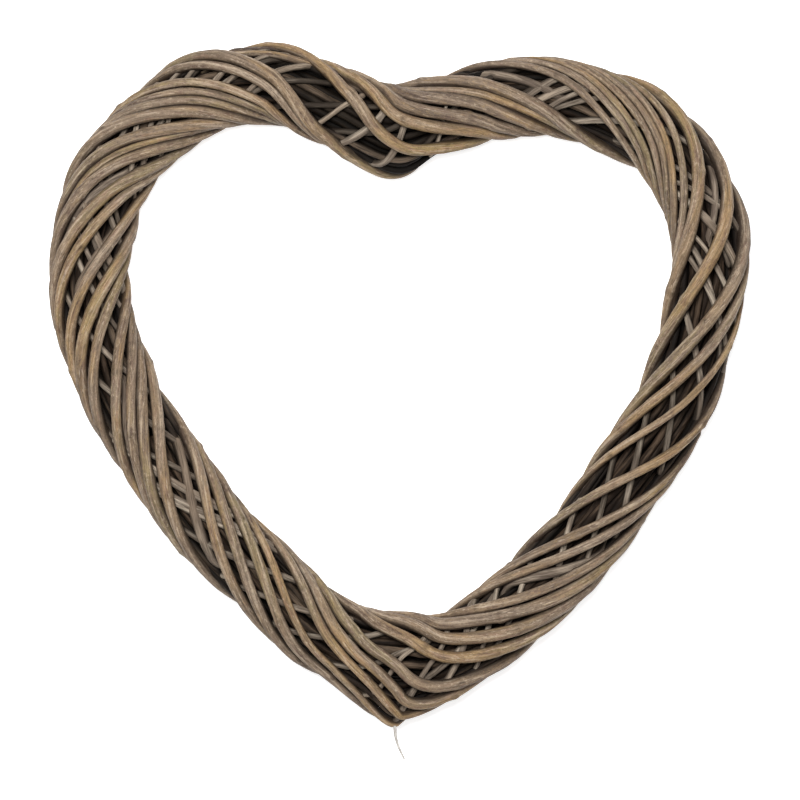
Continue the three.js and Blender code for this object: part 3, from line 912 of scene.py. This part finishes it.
def deep_rod(start, end, first, last, radius, diameter, draw, offset):
    """A rod that goes round with the outer ones but deeper, between two places and two angles."""
    share, angle = np.linspace(start, end, 200) / 100, np.linspace(first, last, 200) * TURN
    share, angle, length = evenly_spaced(share, angle, radius, 1.8)
    line = layer_point(share, diving(length, radius), angle)
    tone = tones(length, draw, draw.uniform(0.2, 0.8), draw.uniform(-0.3, 0.2))
    thick = diameter / 2 * (1 + 0.08 * drift(length, 60, draw))
    return placed(rod_surface(line, away_side(share, angle), thick, 16, draw, tone, offset))


deeps = [
    deep_rod(*rod, np.random.default_rng(330 + i), (95 + i) * ROD_OFFSET)
    for i, rod in enumerate(DEEP_RODS)
]
piece = make_piece("deep_rods", deeps, BARKS["deep_bark"])

# %% [markdown]
# ## Core
# In the middle the dark rods of the core run lengthwise, one turn round each other in a heart.
# Thinner strands are laid over them, to fill the bundle up to the windings.

# %% Core
CORE_FIRST_END, CORE_END_STEP = 0.12, 0.4
STRAND_COUNT, STRAND_DIAMETER, STRAND_TURNS, STRAND_SWAY = 12, 4.4, 1, 0.16
STRAND_RADIUS = (CORE_RADIUS + CORE_DIAMETER / 2 + BINDER_RADIUS - BINDER_DIAMETER / 2) / 2

for i in range(CORE_COUNT):
    draw = np.random.default_rng(300 + i)
    rod = even_rod(
        CORE_RADIUS, CORE_DIAMETER, CORE_TURNS, CORE_FIRST_END + i * CORE_END_STEP,
        i / CORE_COUNT * TURN, 12, 3.0, draw, (0.2, 0.3), (40 + i) * ROD_OFFSET,
    )
    piece = make_piece(f"core_rod_bark_{i + 1}", [placed(rod)], BARKS["core_bark"])
    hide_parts(f"core_rod_{i + 1}")

strands = []
for i in range(STRAND_COUNT):
    draw = np.random.default_rng(400 + i)
    strands.append(placed(even_rod(
        STRAND_RADIUS, STRAND_DIAMETER, STRAND_TURNS, draw.uniform(0, 1),
        (i + draw.uniform(-0.2, 0.2)) / STRAND_COUNT * TURN, 8, 3.2, draw,
        (draw.uniform(0, 0.6), draw.uniform(-0.5, 0.7)), (60 + i) * ROD_OFFSET, STRAND_SWAY,
    )))
piece = make_piece("core_strands", strands, BARKS["core_bark"])

# %% [markdown]
# ## The loose fibre
# At the bottom point a thin pale fibre slips out and curls. It is a fine tapering tube along a
# short curve between the corners of its solid.

# %% Loose fibre
FIBRE_DIAMETER, FIBRE_TIP_DIAMETER = 1.9, 1.1
FIBRE_CURVE = np.array([[0.12, 1], [0.2, 0.66], [0.46, 0.34], [0.88, 0.01]])
FIBRE_RINGS = 60


def fibre_bark():
    """Pale dry fibre with a faint grain."""
    f = Finish("pale fibre")
    place = f.attribute("straight", 1)
    grain = f.noise(place, 3.0, 0.3)
    colour = f.mix(grain.ramp(0.35, 0.65), rgb(142, 136, 130), rgb(190, 186, 180))
    return f.surface(colour, 0.6 + grain * 0.1, grain, 0.0001, 0.4)


low, high = (np.array(corner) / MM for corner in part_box("loose_twig_end"))
across, tall = high[0] - low[0], high[1] - low[1]
t = np.linspace(0, 1, FIBRE_RINGS)
way = np.stack([smooth_between(FIBRE_CURVE[:, k], t * (len(FIBRE_CURVE) - 1)) for k in (0, 1)],
               axis=1)
level = np.full((FIBRE_RINGS, 1), (low[2] + high[2]) / 2)
line = np.concatenate([low[:2] + way * [across, tall], level], axis=1)
draw = np.random.default_rng(500)
fibre = rod_surface(
    line, np.broadcast_to([0.0, 0.0, 1.0], line.shape),
    (FIBRE_DIAMETER + (FIBRE_TIP_DIAMETER - FIBRE_DIAMETER) * t) / 2, 12, draw,
    np.zeros((FIBRE_RINGS, 3)), 90 * ROD_OFFSET, relief=False,
)
piece = make_piece("loose_fibre", [fibre], fibre_bark())
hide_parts("loose_twig_end")

# %% [markdown]
# ## Floor, light and camera
# The wreath lies on a plain white table under broad soft lights, and the camera looks straight
# down on it, as the photograph looks straight at it. A long lens keeps the tube's sides hidden.
# The floor gives back a little light, because the photograph's ground is cut out to plain white.

# %% Floor
def floor_paint():
    """Matt white that gives back a little light of its own, so that shadows stay faint."""
    f = Finish("white floor")
    shader = f.node("ShaderNodeBsdfPrincipled", None, {
        "Base Color": (0.86, 0.86, 0.86, 1), "Roughness": 0.9, "Specular IOR Level": 0.1,
        "Emission Color": (1, 1, 1, 1), "Emission Strength": 0.68,
    })
    f.node("ShaderNodeOutputMaterial", None, {"Surface": shader})
    return f.material


FLOOR_SIDE, FLOOR_DROP = 6.0, 0.0002
floor_mesh = bpy.data.meshes.new("floor")
side = FLOOR_SIDE / 2
floor_mesh.from_pydata([(-side, -side, 0), (side, -side, 0), (side, side, 0), (-side, side, 0)],
                       [], [(0, 1, 2, 3)])
floor_mesh.materials.append(floor_paint())
floor = bpy.data.objects.new("floor", floor_mesh)
bpy.context.scene.collection.objects.link(floor)
floor.location.z = -FLOOR_DROP

# %% Light
from mathutils import Vector


def soft_light(name, place, power, size):
    """A square area light aimed at the middle of the wreath."""
    lamp = bpy.data.lights.new(name, "AREA")
    lamp.energy, lamp.size = power, size
    light = bpy.data.objects.new(name, lamp)
    light.location = place
    light.rotation_euler = Vector(place).to_track_quat("Z", "Y").to_euler()
    bpy.context.scene.collection.objects.link(light)


soft_light("key", (-0.22, 0.4, 1.8), 54.5, 0.7)
soft_light("fill", (0.9, -0.4, 1.4), 6, 1.2)
world = bpy.data.worlds.new("soft room")
world.use_nodes = True
world.node_tree.nodes["Background"].inputs[0].default_value = (1, 1, 1, 1)
world.node_tree.nodes["Background"].inputs[1].default_value = 0.08
bpy.context.scene.world = world
bpy.context.scene.view_settings.view_transform = "Standard"

# %% Camera
PHOTO_WIDTH = 456.5
PHOTO_MIDDLE = np.array([0.3, -6.85])
LENS, SENSOR = 180.0, 36.0

lens = bpy.data.cameras.new("photo camera")
lens.lens, lens.sensor_width = LENS, SENSOR
camera = bpy.data.objects.new("photo camera", lens)
spot = HEART_PLACE[:2] + PHOTO_MIDDLE
camera.location = (*(spot * MM), (HEART_PLACE[2] + PHOTO_WIDTH * LENS / SENSOR) * MM)
bpy.context.scene.collection.objects.link(camera)
bpy.context.scene.camera = camera
print("camera height, m:", round(camera.location.z, 3))
